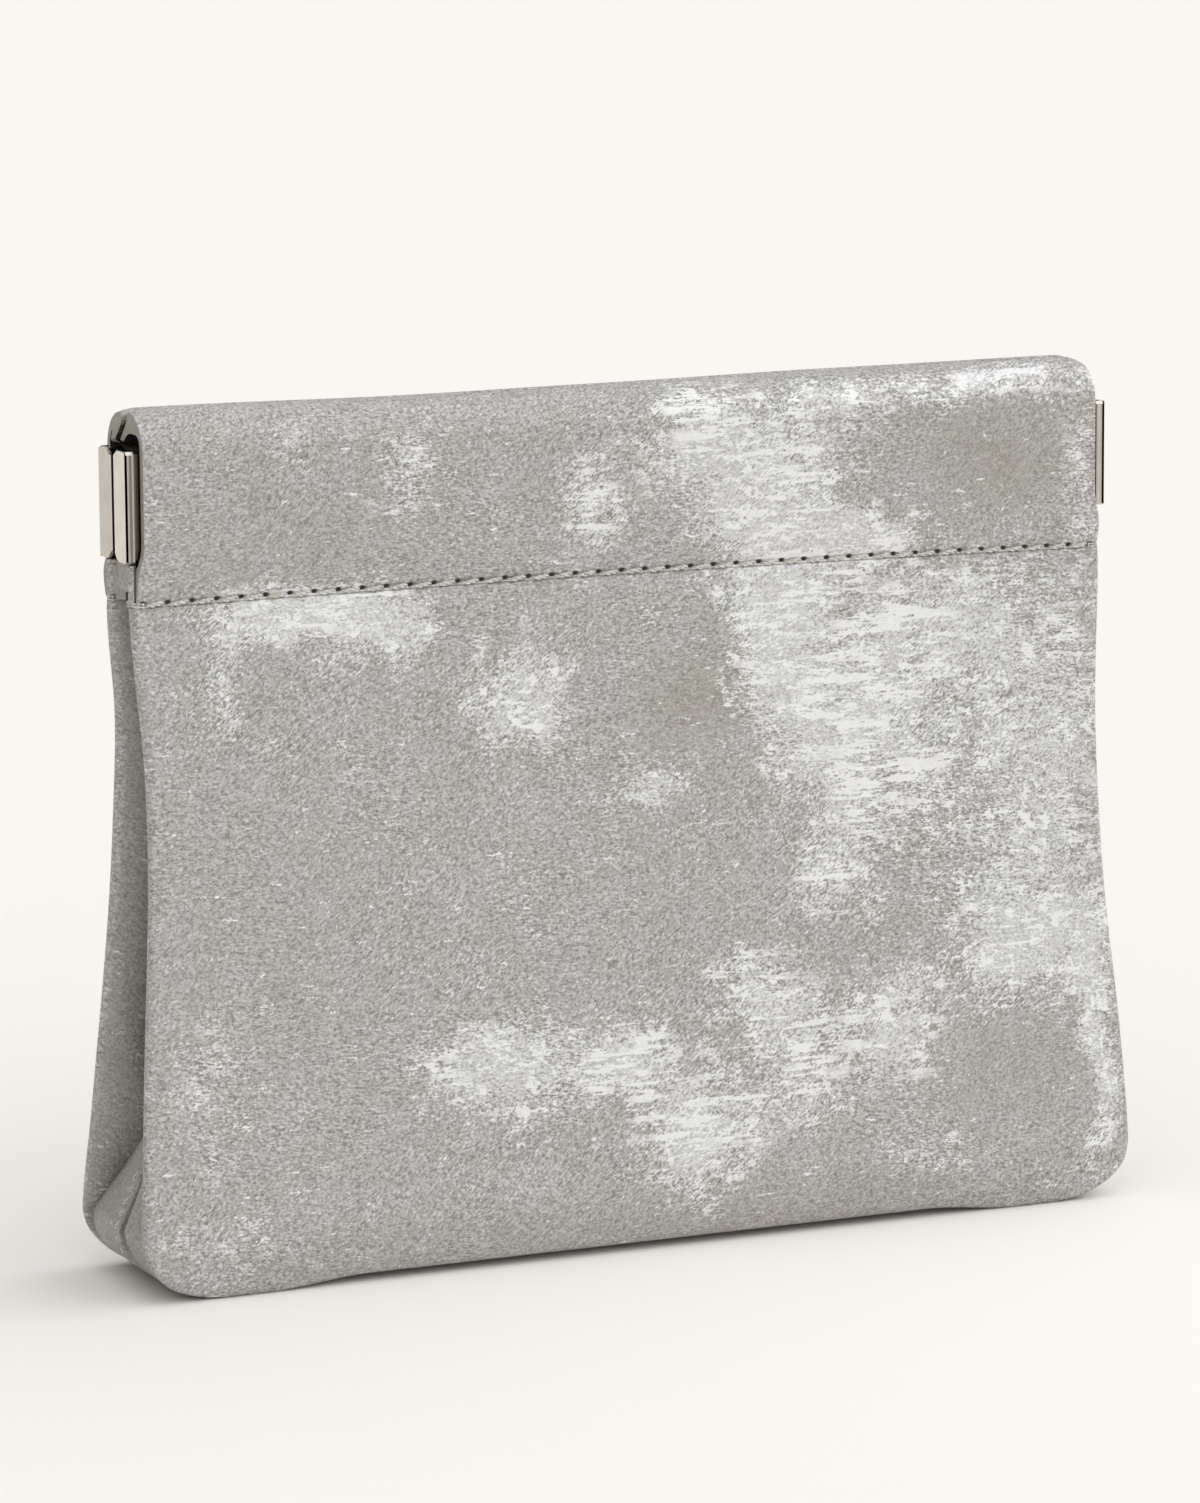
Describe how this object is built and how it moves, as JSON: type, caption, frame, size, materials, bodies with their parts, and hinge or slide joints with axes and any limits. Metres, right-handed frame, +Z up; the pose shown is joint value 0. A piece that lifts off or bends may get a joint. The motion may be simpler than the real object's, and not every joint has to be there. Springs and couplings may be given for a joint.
{
  "type": "card pouch",
  "caption": "Slim leather squeeze-top card pouch with folded side gussets, a flat base and a sprung flex frame hinged at both ends of its mouth.",
  "frame": {"origin": "middle of the base, on the surface that the pouch stands on", "axes": "+X along the mouth, towards the end that is on the right from the front; -Y out of the front panel; +Z up to the mouth"},
  "size_m": [0.1212, 0.0226, 0.0967],
  "materials": {
    "leather": "brushed metallic grey with worn silver foil",
    "spring_steel": "satin",
    "nickel": "polished"
  },
  "bodies": {
    "bag": {"front_leather": "leather", "rear_leather": "leather", "left_pin": "nickel", "right_pin": "nickel"},
    "front_mouth": {"front_channel": "leather", "front_strip": "spring_steel"},
    "rear_mouth": {"rear_channel": "leather", "rear_strip": "spring_steel"},
    "left_front_leaf": {"left_front_leaf": "nickel"},
    "left_rear_leaf": {"left_rear_leaf": "nickel"},
    "right_front_leaf": {"right_front_leaf": "nickel"},
    "right_rear_leaf": {"right_rear_leaf": "nickel"}
  },
  "joints": [
    {"name": "front_mouth_bow", "type": "slide", "parent": "bag", "child": "front_mouth", "axis": [0, -1, 0], "range_m": [0, 0.014], "stiffness_N_per_m": 150, "springref_m": -0.004, "deforming": ["front_strip", "front_channel"]},
    {"name": "rear_mouth_bow", "type": "slide", "parent": "bag", "child": "rear_mouth", "axis": [0, 1, 0], "range_m": [0, 0.014], "stiffness_N_per_m": 150, "springref_m": -0.004, "deforming": ["rear_strip", "rear_channel"]},
    {"name": "left_front_hinge", "type": "hinge", "parent": "bag", "child": "left_front_leaf", "pos_m": [-0.05815, 0, 0.0862], "axis": [0, 0, -1], "range_deg": [0, 21]},
    {"name": "left_rear_hinge", "type": "hinge", "parent": "bag", "child": "left_rear_leaf", "pos_m": [-0.05815, 0, 0.0862], "axis": [0, 0, 1], "range_deg": [0, 21]},
    {"name": "right_front_hinge", "type": "hinge", "parent": "bag", "child": "right_front_leaf", "pos_m": [0.05815, 0, 0.0862], "axis": [0, 0, 1], "range_deg": [0, 21]},
    {"name": "right_rear_hinge", "type": "hinge", "parent": "bag", "child": "right_rear_leaf", "pos_m": [0.05815, 0, 0.0862], "axis": [0, 0, -1], "range_deg": [0, 21]}
  ],
  "couplings": [
    {"joint": "rear_mouth_bow", "follows": "front_mouth_bow", "ratio": 1},
    {"joint": "left_front_hinge", "follows": "front_mouth_bow", "rad_per_m": 26},
    {"joint": "left_rear_hinge", "follows": "front_mouth_bow", "rad_per_m": 26},
    {"joint": "right_front_hinge", "follows": "front_mouth_bow", "rad_per_m": 26},
    {"joint": "right_rear_hinge", "follows": "front_mouth_bow", "rad_per_m": 26}
  ]
}
